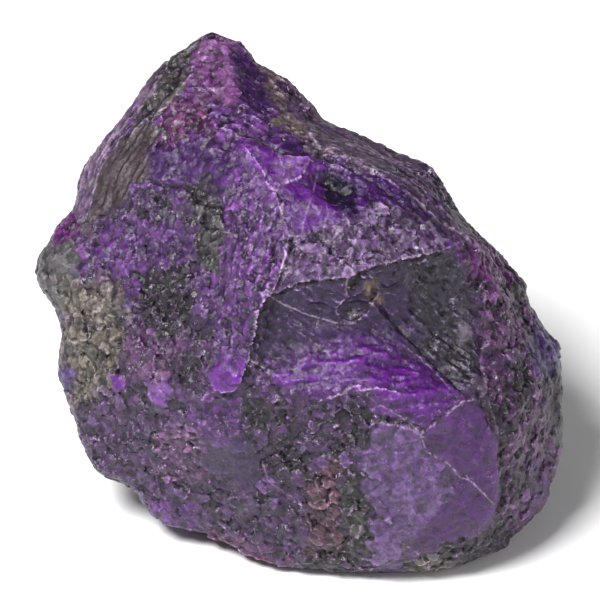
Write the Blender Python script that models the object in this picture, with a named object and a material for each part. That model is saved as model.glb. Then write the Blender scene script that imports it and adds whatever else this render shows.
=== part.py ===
"""Rough sugilite: one broken lump of purple rock that rests on a small flat spot.

The stone is laid out in millimetres with its best side facing +Z, x to the right and y up,
as a sheet of broken faces over an outline, closed by a plainer back. It is then stood up,
cut flat where it rests, and put with the middle of its footprint on the origin.
"""
import math

import bmesh
import bpy
import numpy as np
from mathutils import Matrix, Vector, noise
from mathutils.geometry import delaunay_2d_cdt

# Driving sizes, in millimetres and degrees
MM = 0.001
STAND_UP_TURN = 55.0        # from lying face up to standing as it rests
BASE_HEIGHT = -17.2         # where the resting cut runs, before the stone is set on zero
RIM_SPARE = 0.6             # how far the rim is first drawn past the outline, then trimmed
RIM_STEP_IN = 1.3           # how far the rounded rim comes in from there
RIM_RISE = 1.9              # and how far it rises towards the best side
RIM_FALL = 2.6              # and falls towards the back
SKIN_CELL = 0.38            # size of the skin's cells while it is shaped
SKIN_TRIANGLES = 9400       # what the finished skin keeps
BACK_THINNING = 1.0         # how much more the back is thinned than the best side

# Relief sizes, in millimetres
SWELL_LENGTH = 7.0
SWELL_HEIGHT = 0.45
BREAK_SIZE = 8.0            # broad broken faces
CHIP_SIZE = 3.6             # small broken faces between them
GRAIN_SIZE = 2.4            # lumps of the granular zones
GRAIN_HEIGHT = 0.75
GRAIN_PATCH_LENGTH = 9.0    # the lumps come and go over this length
PATCH_SHIFT = 40.0          # sets where they do
CREST_REACH = 1.5           # how near a crest the skin is left as drawn
LEDGE_SPACING = 1.9
LEDGE_HEIGHT = 0.42
RIPPLE_SPACING = 2.6
RIPPLE_HEIGHT = 0.14

# Shares of that relief, where 1 is all of it
BREAK_FLATNESS = 0.6
CHIP_FLATNESS = 0.8
SMOOTH_SWELL = 0.3          # what the smooth faces keep of the swells
SMOOTH_CHIPS = 0.2          # and of the chips
CREST_CHIPS = 0.25          # what a crest keeps of the chips
CREST_GRAINS = 0.4          # and of the lumps
LOW_GRAINS = 0.35           # what the quiet patches keep of the lumps
PATCH_CONTRAST = 1.6        # how sharply the lumps come and go
GRAIN_STEEPNESS = 1.7       # how soon a lump rises from its edge
LEDGE_GRAINS = 0.2          # what the ledges keep of the lumps
LEDGE_RISE = 0.74           # how much of a ledge's width is its long gentle side
BENT_CELL = 0.65            # a cell whose faces agree less than this isn't pressed flat
EVEN_CELL = 0.90            # and one that agrees more than this is pressed fully

# Outline of the best side, clockwise from the tip (x, y)
OUTLINE = [
    (-6.6, 21.4), (-5.6, 21.0), (-4.7, 20.6), (-4.0, 19.7), (-3.2, 18.6), (-2.2, 18.3),
    (-1.8, 17.8), (-1.0, 17.7), (-0.1, 17.0), (0.3, 16.1), (1.3, 15.4), (1.6, 14.5),
    (3.0, 13.8), (4.2, 13.5), (5.6, 12.9), (7.0, 12.2), (8.8, 11.4), (10.2, 11.0),
    (11.2, 10.1), (11.8, 9.0), (12.0, 8.4), (12.6, 7.8), (13.0, 6.6), (14.2, 5.9),
    (15.2, 5.0), (16.3, 3.4), (17.3, 2.2), (18.1, 1.2), (18.2, -0.1), (19.0, -1.6),
    (19.7, -2.5), (20.8, -3.4), (20.8, -5.2), (21.1, -7.2), (20.8, -8.0), (21.1, -9.6),
    (20.9, -11.4), (20.4, -13.6), (19.9, -14.4), (20.0, -15.1), (19.2, -17.0), (18.4, -17.7),
    (17.3, -18.4), (16.2, -19.7), (14.7, -20.2), (13.9, -20.6), (11.8, -21.3), (10.4, -21.4),
    (8.0, -21.5), (5.4, -21.5), (3.2, -21.5), (0.5, -21.3), (-2.0, -21.0), (-3.8, -20.3),
    (-5.6, -19.4), (-7.1, -18.8), (-7.8, -18.3), (-9.3, -18.1), (-10.6, -18.1), (-11.8, -17.2),
    (-12.6, -15.5), (-13.3, -14.9), (-14.9, -14.2), (-16.3, -13.7), (-17.0, -12.1),
    (-17.4, -11.2), (-17.4, -10.4), (-18.2, -8.8), (-18.7, -6.9), (-19.3, -6.1), (-19.2, -5.1),
    (-18.8, -3.2), (-19.0, -2.2), (-18.9, -1.4), (-19.8, 0.0), (-20.6, 0.8), (-21.2, 1.8),
    (-20.6, 3.5), (-19.8, 5.0), (-18.7, 6.6), (-17.8, 7.2), (-17.6, 9.3), (-17.1, 11.0),
    (-16.2, 12.0), (-15.3, 13.5), (-14.3, 14.6), (-14.1, 15.3), (-12.9, 16.4), (-12.2, 17.4),
    (-11.2, 18.5), (-10.2, 19.4), (-8.8, 20.2), (-7.7, 21.0),
]

# How far forward the outline lies around the stone (x, y, forward)
RIM_STATIONS = [
    (-6.6, 21.4, -3.0), (-14.0, 15.0, -2.6), (-17.6, 9.0, -3.2), (-21.0, 1.8, -1.6),
    (-19.0, -4.0, -1.0), (-17.4, -11.0, -1.6), (-12.6, -15.5, -2.0), (-7.8, -18.3, -1.2),
    (-2.0, -21.0, 0.8), (5.4, -21.5, 1.3), (11.8, -21.3, 1.2), (16.2, -19.7, -0.4),
    (19.9, -14.4, -2.0), (21.1, -7.2, -2.8), (18.1, 1.2, -3.6), (14.2, 5.9, -4.6),
    (11.2, 10.1, -5.6), (5.6, 12.9, -5.0), (1.3, 15.4, -4.2), (-3.2, 18.6, -3.6),
]

# Crests and creases of the best side, each a run of points (x, y, forward)
CRESTS = {
    "left edge of the upper face": [
        (-8.0, 20.0, -1.2), (-8.8, 18.0, 1.2), (-9.6, 16.8, 2.2), (-10.4, 15.6, 2.8),
        (-11.0, 13.6, 2.8), (-11.6, 12.0, 3.4), (-12.0, 9.6, 4.2), (-13.8, 7.2, 3.6),
    ],
    "foot of the upper face": [
        (-10.4, 15.6, 2.8), (-8.8, 14.4, 4.2), (-7.0, 13.8, 5.4), (-5.6, 13.2, 6.2),
    ],
    "crest beside the dark slab": [
        (-5.8, 20.0, -1.0), (-5.2, 18.0, 1.6), (-4.6, 16.0, 3.6), (-3.2, 14.2, 5.4),
    ],
    "tan band": [
        (-3.2, 18.0, -1.4), (-2.4, 16.4, 0.2), (-1.2, 15.2, 1.4), (0.4, 13.4, 3.4),
        (1.4, 12.6, 4.8), (2.6, 11.8, 6.2),
    ],
    "root of the step": [(-5.6, 13.2, 6.2), (-4.0, 13.2, 6.2), (-2.2, 12.8, 6.4), (0.2, 12.2, 6.6)],
    "lip of the step": [
        (-5.0, 12.4, 7.4), (-3.4, 12.4, 8.0), (-1.8, 11.4, 8.9), (0.0, 11.2, 8.6), (1.2, 11.0, 8.0),
        (1.6, 12.0, 6.8),
    ],
    "edge of the flake": [
        (-4.2, 11.6, 8.4), (-3.0, 10.4, 9.4), (-2.0, 8.4, 10.6), (-1.6, 7.2, 11.2),
        (-0.9, 5.0, 12.4), (-1.5, 2.6, 13.0), (-2.7, 0.3, 13.0), (-3.5, -1.6, 12.6),
        (-4.0, -3.6, 12.2), (-4.5, -5.4, 11.8), (-5.1, -6.8, 11.2), (-6.8, -6.9, 10.4),
    ],
    "foot of the flake": [
        (-1.8, 0.2, 11.4), (-2.7, -1.9, 11.1), (-3.2, -4.0, 10.9), (-3.7, -5.9, 10.5),
        (-4.6, -7.7, 9.8), (-7.0, -8.0, 9.0),
    ],
    "main ridge": [
        (1.6, 12.0, 6.8), (3.6, 11.2, 7.6), (5.6, 10.2, 8.2), (8.0, 8.8, 8.3), (9.8, 7.2, 7.9),
        (11.2, 6.0, 7.2), (13.0, 4.8, 6.0), (14.0, 4.2, 5.2),
    ],
    "shelf behind the ridge": [
        (3.6, 12.7, 3.4), (6.4, 11.3, 3.4), (9.4, 9.9, 2.2), (11.1, 8.2, 2.2), (12.4, 6.4, 2.6),
    ],
    "violet facets": [(-1.6, 7.2, 11.2), (0.1, 9.6, 9.6), (1.3, 10.8, 8.7)],
    "violet crest": [(-0.9, 5.0, 12.4), (1.6, 6.0, 12.0), (3.6, 6.8, 11.6), (4.7, 7.2, 11.2)],
    "rim of the indigo pocket": [
        (1.3, 10.8, 8.7), (3.5, 10.1, 9.2), (5.1, 8.8, 9.8), (4.7, 7.2, 11.2),
    ],
    "floor of the indigo pocket": [(2.4, 9.4, 7.8), (3.6, 8.2, 8.0)],
    "ledge above the bowl": [
        (-1.5, 2.6, 13.0), (0.2, 1.6, 12.9), (3.4, 2.0, 12.9), (5.6, 2.8, 12.6), (8.4, 3.4, 11.4),
        (11.2, 4.0, 9.4), (13.2, 3.2, 7.4),
    ],
    "root of the ledge": [
        (-1.8, 0.2, 11.4), (0.6, 0.6, 11.8), (3.4, 0.8, 11.7), (6.4, 1.6, 10.9), (9.4, 2.2, 9.4),
        (12.4, 1.4, 7.3),
    ],
    "crest under the fan": [
        (-3.7, -5.9, 10.5), (-0.6, -6.8, 11.2), (2.4, -7.6, 11.8), (4.2, -6.7, 12.2),
        (6.0, -6.9, 12.0), (8.4, -7.3, 11.4), (11.2, -7.6, 10.6), (14.2, -7.4, 9.2),
    ],
    "crack": [(3.4, -8.2, 10.6), (4.1, -10.4, 9.6), (2.4, -11.4, 9.0), (0.0, -12.4, 8.2)],
    "top of the lower face": [
        (5.2, -10.6, 10.6), (6.4, -9.8, 10.9), (8.4, -10.0, 10.5), (11.2, -9.2, 10.4),
        (14.2, -7.4, 9.2),
    ],
    "right of the lower face": [
        (14.2, -7.4, 9.2), (15.6, -10.6, 8.7), (15.8, -13.4, 7.4), (15.8, -16.0, 6.1),
        (15.0, -18.0, 5.2),
    ],
    "bottom of the lower face": [
        (15.0, -18.0, 5.2), (13.4, -19.2, 4.8), (10.4, -20.0, 4.8), (6.8, -20.2, 5.2),
    ],
    "left of the lower face": [
        (5.2, -10.6, 10.6), (4.6, -12.4, 9.7), (5.0, -14.4, 8.7), (6.4, -17.0, 7.2),
        (5.8, -18.6, 6.3), (6.8, -20.2, 5.2),
    ],
    "brown facet": [
        (-11.8, 14.2, 1.8), (-13.2, 13.6, 0.8), (-14.4, 12.4, 0.4), (-15.6, 10.8, 0.2),
        (-16.2, 8.8, 0.4), (-16.6, 6.8, 0.8), (-15.6, 6.6, 2.0), (-13.8, 7.2, 3.6),
    ],
    "dark wedge": [(-8.6, -12.0, 5.2), (-6.0, -13.0, 5.6), (-3.4, -13.2, 6.4)],
    "lip over the wedge": [(-9.0, -10.8, 6.4), (-6.6, -10.8, 8.2), (-4.6, -10.4, 9.2), (-2.0, -10.6, 9.0)],
}

# Single high and low points of the best side (x, y, forward)
POINTS = [
    (-1.2, 17.1, -1.8), (0.7, 15.3, -1.2), (2.2, 13.4, 1.0),
    (-10.0, 18.2, -0.8), (-11.2, 16.4, 0.2), (-12.8, 15.2, 0.0), (-15.3, 12.0, -1.2),
    (-16.9, 8.8, -1.4), (-7.0, 17.5, 1.6), (-7.4, 15.6, 3.2),
    (5.8, 6.6, 11.0), (8.0, 7.0, 9.8), (8.4, 5.0, 10.9), (10.8, 5.0, 9.0), (3.0, 4.2, 12.8),
    (5.6, 4.6, 12.2), (0.8, 3.6, 12.9), (13.0, 4.0, 7.0),
    (0.0, -2.0, 10.6), (3.2, -2.8, 10.2), (6.8, -2.0, 9.3), (10.4, -2.0, 8.1), (13.2, -2.4, 7.3),
    (8.0, -4.8, 9.9), (4.8, -5.2, 11.3), (1.6, -5.0, 10.8), (11.2, -5.6, 9.0), (-1.4, -4.4, 10.7),
    (13.6, -5.2, 8.2), (10.0, 0.4, 8.5), (6.0, 0.2, 10.2), (2.4, -0.8, 10.9),
    (15.4, 2.2, 4.4), (16.2, 0.0, 3.8), (14.6, -0.4, 6.0), (17.6, -3.2, 3.8), (15.4, -3.2, 6.4),
    (18.9, -6.4, 3.0), (16.2, -6.6, 7.0), (18.2, -9.6, 4.6), (19.2, -12.2, 2.4),
    (17.6, -14.4, 4.0), (18.3, -16.2, 1.8), (16.9, -9.6, 6.8),
    (9.4, -14.0, 8.5), (12.6, -13.4, 8.2), (9.8, -17.4, 6.8), (12.8, -17.0, 6.6),
    (0.0, -8.4, 10.7), (-2.4, -8.8, 9.8), (2.0, -9.6, 10.2), (1.6, -13.6, 8.4), (3.6, -15.2, 7.8),
    (1.4, -16.2, 7.0), (-1.4, -15.4, 6.4), (-4.2, -15.8, 4.6), (0.0, -18.6, 4.6),
    (3.4, -18.2, 5.8), (2.4, -20.2, 3.4), (-2.6, -18.8, 3.0), (-6.2, -17.2, 1.8),
    (-4.6, -8.8, 9.8), (-8.4, -7.0, 8.8), (-10.4, -10.2, 5.6), (-11.2, -13.4, 2.8),
    (-8.8, -14.8, 2.9), (-10.0, -16.8, 1.4), (-13.0, -12.0, 2.6), (-14.8, -10.0, 2.2),
    (-12.8, -8.0, 4.8), (-14.4, -6.2, 4.6), (-11.2, -7.0, 7.0), (-16.4, -8.0, 1.4),
    (-16.0, -5.4, 2.6), (-14.4, -3.6, 4.2), (-17.6, -2.6, 2.0), (-15.6, -0.8, 4.0),
    (-17.6, 1.2, 2.6), (-19.6, 2.0, 1.0), (-18.4, 4.4, 1.3), (-15.6, 1.8, 3.4),
    (-13.4, -1.4, 5.0), (-12.0, 0.8, 5.0), (-9.6, 0.0, 7.4), (-11.2, -3.2, 6.6),
    (-8.8, -4.6, 8.8), (-6.4, -4.0, 10.6), (-6.8, 0.0, 9.8), (-4.8, -0.8, 11.6),
    (-5.2, 2.4, 11.2), (-8.0, 2.4, 8.6), (-7.2, 5.2, 8.8), (-4.4, 5.2, 11.0),
    (-5.6, 8.0, 8.9), (-3.8, 8.6, 9.9), (-7.6, 8.4, 7.3), (-6.8, 10.8, 6.9), (-9.0, 11.4, 5.2),
    (-9.6, 8.8, 6.0), (-10.0, 6.0, 6.6), (-12.0, 4.2, 5.0), (-13.6, 2.8, 4.4),
    (-14.8, 4.8, 3.0), (-16.8, 5.8, 1.4), (-14.4, 10.2, 2.2),
    (-1.0, 9.8, 9.6), (-2.6, 10.9, 9.1), (1.0, 8.2, 10.9),
]

# Corners of the plainer back (x, y, forward)
BACK_CORNERS = [
    (-6.5, 17.0, -7.6), (-10.5, 12.0, -9.4), (-1.0, 12.8, -11.2), (6.5, 8.0, -12.6),
    (-13.6, 5.0, -10.2), (-6.0, 6.0, -14.4), (2.5, 3.0, -16.2), (10.6, 2.0, -13.8),
    (-16.2, -1.5, -7.4), (-11.0, -3.5, -12.8), (-2.5, -4.0, -16.8), (6.5, -4.5, -16.4),
    (14.6, -3.0, -11.2), (17.8, -6.5, -8.2), (-13.6, -9.5, -7.0), (-8.0, -11.0, -12.2),
    (2.0, -10.6, -15.6), (11.0, -9.6, -14.6), (16.8, -12.6, -7.4), (-9.6, -14.2, -6.6),
    (-6.4, -16.6, -5.4), (11.6, -15.6, -8.4), (1.6, -20.0, -2.0), (8.6, -19.8, -2.4),
    (13.6, -18.2, -3.0), (3.0, -15.6, -9.2), (-1.8, -18.6, -3.8),
]

# Broad smooth faces of the best side, as discs (x, y, radius), where no grains stand up
SMOOTH_FACES = [
    (-1.0, -3.0, 2.6), (3.0, -2.6, 3.4), (7.6, -2.0, 3.8), (11.2, -2.6, 3.0), (5.0, -5.4, 2.4),
    (8.6, -12.6, 3.4), (11.8, -13.2, 4.0), (9.6, -17.6, 2.6), (12.6, -16.6, 2.8),
    (-13.8, 10.6, 2.6), (-6.4, 17.6, 2.2), (-7.4, 15.2, 2.0), (-4.2, 17.2, 1.6),
    (0.4, 8.6, 2.4), (8.0, 5.8, 2.6), (4.2, 4.2, 2.0), (-4.0, 3.0, 1.4),
]
SMOOTH_EDGE = 1.2

# Ledges follow the grain of the slope behind the main ridge
LEDGE_TURN = -38.0          # their run, in degrees from x
LEDGE_PATCHES = [(4.0, 12.4, 2.2), (7.2, 10.8, 2.4), (10.2, 9.0, 2.4), (12.4, 6.6, 2.0)]
LEDGE_EDGE = 1.6

# Ripples of the broken bowl spread from the point where it was struck
RIPPLE_CENTRE = (2.0, 6.0)
RIPPLE_PATCHES = [(1.0, -2.6, 3.0), (5.0, -2.6, 3.6), (9.6, -2.2, 3.8)]
RIPPLE_EDGE = 1.5

STONE_COLOUR = (0.118, 0.047, 0.205, 1.0)
STONE_ROUGHNESS = 0.42


def clear_scene():
    for item in list(bpy.data.objects):
        bpy.data.objects.remove(item, do_unlink=True)


def rim_forward(x, y):
    """Forward place of an outline point, blended from the nearest stations."""
    total = 0.0
    weight_sum = 0.0
    for station_x, station_y, forward in RIM_STATIONS:
        gap = math.hypot(x - station_x, y - station_y)
        weight = 1.0 / (gap + 0.4) ** 3
        total += forward * weight
        weight_sum += weight
    return total / weight_sum


def carried_in(loop, step_in, rise):
    """A loop carried inwards, or outwards where the step is negative, and up or down."""
    count = len(loop)
    carried = []
    for index, point in enumerate(loop):
        run = (loop[(index + 1) % count] - loop[index - 1]).to_2d().normalized()
        place = point.to_2d() + Vector((run.y, -run.x)) * step_in
        carried.append(Vector((place.x, place.y, point.z + rise)))
    return carried


def rim_loop():
    outline = [Vector((x, y, rim_forward(x, y))) for x, y in OUTLINE]
    return carried_in(outline, -RIM_SPARE, 0.0)


def sheet(rim, inner, crests, points):
    """Triangles that span the outline and hold every crest as an edge."""
    places = list(rim)
    edges = [(index, (index + 1) % len(rim)) for index in range(len(rim))]
    known = {}

    def add(point):
        key = (round(point[0], 3), round(point[1], 3))
        if key not in known:
            known[key] = len(places)
            places.append(Vector(point))
        return known[key]

    for point in inner:
        add(point)
    for run in crests:
        indices = [add(point) for point in run]
        edges.extend(zip(indices[:-1], indices[1:]))
    for point in points:
        add(point)
    flat = [point.to_2d() for point in places]
    found, _, triangles, sources, _, _ = delaunay_2d_cdt(flat, edges, [], 1, 1e-5)
    heights = []
    for place, source in zip(found, sources):
        if source:
            heights.append(places[source[0]].z)
        else:
            near = sorted(places, key=lambda point: (point.to_2d() - place).length)[:3]
            heights.append(sum(point.z for point in near) / len(near))
    corners = [Vector((place.x, place.y, height)) for place, height in zip(found, heights)]
    return corners, triangles


def cage():
    """The closed cage of broken faces, front and back joined along a blunt rim."""
    rim = rim_loop()
    front = sheet(rim, carried_in(rim, RIM_STEP_IN, RIM_RISE), CRESTS.values(), POINTS)
    back = sheet(rim, carried_in(rim, RIM_STEP_IN, -RIM_FALL), [], BACK_CORNERS)
    shape = bmesh.new()
    for corners, triangles in (front, back):
        made = [shape.verts.new(corner) for corner in corners]
        for triangle in triangles:
            shape.faces.new([made[index] for index in triangle])
    bmesh.ops.remove_doubles(shape, verts=shape.verts, dist=0.001)
    bmesh.ops.recalc_face_normals(shape, faces=shape.faces)
    mesh = bpy.data.meshes.new("cage")
    shape.to_mesh(mesh)
    shape.free()
    return mesh


def evaluated_mesh(item):
    bpy.context.view_layer.update()
    graph = bpy.context.evaluated_depsgraph_get()
    return bpy.data.meshes.new_from_object(item.evaluated_get(graph), depsgraph=graph)


def even_skin(mesh):
    """The cage as an even skin of small cells, which keeps its main edges."""
    item = bpy.data.objects.new("skin", mesh)
    bpy.context.collection.objects.link(item)
    cells = item.modifiers.new("cells", "REMESH")
    cells.mode = "VOXEL"
    cells.voxel_size = SKIN_CELL
    skin = evaluated_mesh(item)
    bpy.data.objects.remove(item, do_unlink=True)
    return skin


def read_places(mesh):
    flat = np.empty(len(mesh.vertices) * 3, dtype=np.float32)
    mesh.vertices.foreach_get("co", flat)
    return flat.reshape(-1, 3).astype(float)


def read_normals(mesh):
    flat = np.empty(len(mesh.vertices) * 3, dtype=np.float32)
    mesh.vertices.foreach_get("normal", flat)
    return flat.reshape(-1, 3).astype(float)


def write_places(mesh, places):
    mesh.vertices.foreach_set("co", places.astype(np.float32).ravel())
    mesh.update()


def disc_mask(places, discs, soft):
    """1 inside any of the discs, falling to 0 over a soft edge."""
    mask = np.zeros(len(places))
    for x, y, radius in discs:
        gap = np.hypot(places[:, 0] - x, places[:, 1] - y) - radius
        mask = np.maximum(mask, np.clip(0.5 - gap / soft, 0.0, 1.0))
    return mask


def nearest_seeds(places, size, seed):
    """For each point, its nearest and next nearest seed of a jittered grid of cells."""
    draw = np.random.default_rng(seed)
    low = np.floor(places.min(axis=0) / size).astype(int) - 2
    high = np.ceil(places.max(axis=0) / size).astype(int) + 2
    shape = high - low
    jitter = draw.random((shape[0], shape[1], shape[2], 3))
    cell = np.floor(places / size).astype(int) - low
    best = np.full(len(places), np.inf)
    second = np.full(len(places), np.inf)
    owner = np.zeros(len(places), dtype=int)
    for step_x in (-1, 0, 1):
        for step_y in (-1, 0, 1):
            for step_z in (-1, 0, 1):
                near = cell + (step_x, step_y, step_z)
                index = (near[:, 0] * shape[1] + near[:, 1]) * shape[2] + near[:, 2]
                seed_place = (near + low + jitter[near[:, 0], near[:, 1], near[:, 2]]) * size
                gap = np.linalg.norm(places - seed_place, axis=1)
                closer = gap < best
                second = np.where(closer, best, np.minimum(second, gap))
                owner = np.where(closer, index, owner)
                best = np.where(closer, gap, best)
    return best, second, owner


def chip_flat(places, normals, size, flatness, seed):
    """Each cell of the skin is pressed towards one plane, as a broken face."""
    _, _, owner = nearest_seeds(places, size, seed)
    _, group = np.unique(owner, return_inverse=True)
    count = group.max() + 1
    weight = np.bincount(group, minlength=count)
    middle = np.empty((count, 3))
    facing = np.empty((count, 3))
    for axis in range(3):
        middle[:, axis] = np.bincount(group, places[:, axis], count) / weight
        facing[:, axis] = np.bincount(group, normals[:, axis], count)
    length = np.linalg.norm(facing, axis=1)
    facing /= np.maximum(length, 1e-9)[:, None]
    even = np.clip((length / weight - BENT_CELL) / (EVEN_CELL - BENT_CELL), 0.0, 1.0)
    off_plane = np.einsum("ij,ij->i", places - middle[group], facing[group])
    push = off_plane * even[group] * flatness
    return places - facing[group] * push[:, None]


def swell(places, length, height):
    values = [noise.noise(Vector(place) / length) for place in places]
    return np.array(values) * height


def crest_gap(places):
    """Distance of each point from the nearest crest, in space."""
    gap = np.full(len(places), np.inf)
    for run in CRESTS.values():
        corners = np.array(run)
        for start, end in zip(corners[:-1], corners[1:]):
            step = end - start
            share = np.clip((places - start) @ step / (step @ step), 0.0, 1.0)
            foot = start + share[:, None] * step
            gap = np.minimum(gap, np.linalg.norm(places - foot, axis=1))
    return gap


def kept(share, amount):
    """1 where amount is 1, falling to share where it is 0."""
    return share + (1.0 - share) * amount


def lumps(places):
    """Domes of a granular zone, which come and go over the stone."""
    gap, second, _ = nearest_seeds(places, GRAIN_SIZE, 5)
    dome = np.sqrt(np.clip((second - gap) / GRAIN_SIZE * GRAIN_STEEPNESS, 0.0, 1.0))
    patches = np.clip(swell(places + PATCH_SHIFT, GRAIN_PATCH_LENGTH, PATCH_CONTRAST) + 0.5, 0.0, 1.0)
    return (dome - 0.5) * GRAIN_HEIGHT * kept(LOW_GRAINS, patches)


def ledges(places):
    """Long steps with one gentle and one steep side, along the grain of the slope."""
    turn = math.radians(LEDGE_TURN)
    across = places[:, 1] * math.cos(turn) - places[:, 0] * math.sin(turn)
    phase = (across / LEDGE_SPACING) % 1.0
    gentle = phase / LEDGE_RISE
    steep = (1.0 - phase) / (1.0 - LEDGE_RISE)
    return (np.minimum(gentle, steep) - 0.5) * LEDGE_HEIGHT


def ripples(places):
    reach = np.hypot(places[:, 0] - RIPPLE_CENTRE[0], places[:, 1] - RIPPLE_CENTRE[1])
    return np.sin(reach / RIPPLE_SPACING * math.tau) * RIPPLE_HEIGHT


def shape_skin(mesh):
    """Adds the swells, chips, lumps, ledges and ripples to the even skin."""
    places = read_places(mesh)
    normals = read_normals(mesh)
    best_side = normals[:, 2] > 0.0
    rough = 1.0 - disc_mask(places, SMOOTH_FACES, SMOOTH_EDGE) * best_side
    off_crest = np.clip(crest_gap(places) / CREST_REACH, 0.0, 1.0)
    swells = swell(places, SWELL_LENGTH, SWELL_HEIGHT) * kept(SMOOTH_SWELL, rough)
    places = places + normals * swells[:, None]
    places = chip_flat(places, normals, BREAK_SIZE, BREAK_FLATNESS * rough * off_crest, 3)
    flatness = CHIP_FLATNESS * kept(SMOOTH_CHIPS, rough) * kept(CREST_CHIPS, off_crest)
    places = chip_flat(places, normals, CHIP_SIZE, flatness, 11)
    on_slope = disc_mask(places, LEDGE_PATCHES, LEDGE_EDGE) * best_side
    in_bowl = disc_mask(places, RIPPLE_PATCHES, RIPPLE_EDGE) * best_side
    height = lumps(places) * rough * kept(CREST_GRAINS, off_crest) * kept(LEDGE_GRAINS, 1.0 - on_slope)
    height += ledges(places) * on_slope + ripples(places) * in_bowl
    write_places(mesh, places + normals * height[:, None])


def keep_inside_outline(mesh):
    """Pulls back any bump that would stand past the outline."""
    places = read_places(mesh)
    corners = np.array(OUTLINE)
    following = np.roll(corners, -1, axis=0)
    run = following - corners
    inside = np.zeros(len(places), dtype=bool)
    closest = np.full(len(places), np.inf)
    target = places[:, :2].copy()
    for corner, step in zip(corners, run):
        to_point = places[:, :2] - corner
        share = np.clip(to_point @ step / (step @ step), 0.0, 1.0)
        foot = corner + share[:, None] * step
        gap = np.linalg.norm(places[:, :2] - foot, axis=1)
        closer = gap < closest
        target[closer] = foot[closer]
        closest = np.where(closer, gap, closest)
        crosses = (corner[1] > places[:, 1]) != (corner[1] + step[1] > places[:, 1])
        slope = step[0] / step[1] if step[1] else 0.0
        cut = corner[0] + (places[:, 1] - corner[1]) * slope
        inside ^= crosses & (places[:, 0] < cut)
    outside = ~inside
    places[outside, :2] = target[outside]
    write_places(mesh, places)


def thin_skin(mesh):
    """Fewer triangles where the stone is flat."""
    item = bpy.data.objects.new("skin", mesh)
    bpy.context.collection.objects.link(item)
    back = item.vertex_groups.new(name="back")
    for vertex, normal in zip(mesh.vertices, read_normals(mesh)):
        back.add([vertex.index], BACK_THINNING if normal[2] < 0.0 else 0.1, "REPLACE")
    triangles = sum(len(face.vertices) - 2 for face in mesh.polygons)
    fewer = item.modifiers.new("fewer triangles", "DECIMATE")
    fewer.ratio = SKIN_TRIANGLES / triangles
    fewer.vertex_group = back.name
    fewer.vertex_group_factor = 1.0
    fewer.use_collapse_triangulate = True
    thinned = evaluated_mesh(item)
    bpy.data.objects.remove(item, do_unlink=True)
    return thinned


def drop_crumbs(shape):
    """The cut can leave crumbs beside the flat spot: only the main body stays."""
    bodies = []
    seen = set()
    for start in shape.verts:
        if start in seen:
            continue
        body = [start]
        seen.add(start)
        for vertex in body:
            for edge in vertex.link_edges:
                other = edge.other_vert(vertex)
                if other not in seen:
                    seen.add(other)
                    body.append(other)
        bodies.append(body)
    bodies.sort(key=len)
    crumbs = [vertex for body in bodies[:-1] for vertex in body]
    bmesh.ops.delete(shape, geom=crumbs, context="VERTS")


def stand_and_cut(mesh):
    """Stands the stone up and cuts the small flat spot that it rests on."""
    mesh.transform(Matrix.Rotation(math.radians(STAND_UP_TURN), 4, "X"))
    shape = bmesh.new()
    shape.from_mesh(mesh)
    everything = list(shape.verts) + list(shape.edges) + list(shape.faces)
    cut = bmesh.ops.bisect_plane(
        shape, geom=everything, dist=0.0001, plane_co=(0, 0, BASE_HEIGHT), plane_no=(0, 0, 1),
        clear_inner=True,
    )
    rim_edges = [item for item in cut["geom_cut"] if isinstance(item, bmesh.types.BMEdge)]
    open_edges = [edge for edge in rim_edges if edge.is_boundary]
    bmesh.ops.holes_fill(shape, edges=open_edges, sides=0)
    drop_crumbs(shape)
    bmesh.ops.triangulate(shape, faces=shape.faces)
    bmesh.ops.recalc_face_normals(shape, faces=shape.faces)
    shape.to_mesh(mesh)
    shape.free()
    places = read_places(mesh)
    low = places.min(axis=0)
    high = places.max(axis=0)
    places -= ((low[0] + high[0]) / 2, (low[1] + high[1]) / 2, low[2])
    write_places(mesh, places * MM)


def stone_material():
    material = bpy.data.materials.new("massive sugilite")
    material.use_nodes = True
    shader = material.node_tree.nodes["Principled BSDF"]
    shader.inputs["Base Color"].default_value = STONE_COLOUR
    shader.inputs["Roughness"].default_value = STONE_ROUGHNESS
    shader.inputs["Metallic"].default_value = 0.0
    return material


def make_stone():
    skin = even_skin(cage())
    shape_skin(skin)
    keep_inside_outline(skin)
    thinned = thin_skin(skin)
    stand_and_cut(thinned)
    thinned.name = "sugilite"
    stone = bpy.data.objects.new("sugilite", thinned)
    bpy.context.collection.objects.link(stone)
    thinned.materials.append(stone_material())
    thinned.shade_smooth()
    thinned.set_sharp_from_angle(angle=math.radians(24.0))
    return stone


clear_scene()
make_stone()
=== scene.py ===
# Rough sugilite, dressed for its picture: one broken violet stone on a pale floor.
# Lengths are in millimetres while the stone is shaped, and in metres once it is done.
import math

import bmesh
import bpy
import numpy as np
from mathutils import Matrix, Vector, noise


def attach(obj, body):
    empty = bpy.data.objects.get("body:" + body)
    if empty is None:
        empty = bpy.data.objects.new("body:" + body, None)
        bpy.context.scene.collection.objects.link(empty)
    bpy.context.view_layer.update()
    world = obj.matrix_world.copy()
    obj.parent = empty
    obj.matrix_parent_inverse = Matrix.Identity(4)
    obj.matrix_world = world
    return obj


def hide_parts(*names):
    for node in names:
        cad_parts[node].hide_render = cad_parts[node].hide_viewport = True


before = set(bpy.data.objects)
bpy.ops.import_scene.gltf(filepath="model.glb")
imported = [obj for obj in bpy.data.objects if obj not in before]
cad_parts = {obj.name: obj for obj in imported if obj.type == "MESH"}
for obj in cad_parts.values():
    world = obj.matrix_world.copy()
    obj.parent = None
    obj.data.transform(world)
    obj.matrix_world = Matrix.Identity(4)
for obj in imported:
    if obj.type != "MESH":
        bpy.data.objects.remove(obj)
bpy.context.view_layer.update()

millimetre = 0.001

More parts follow.
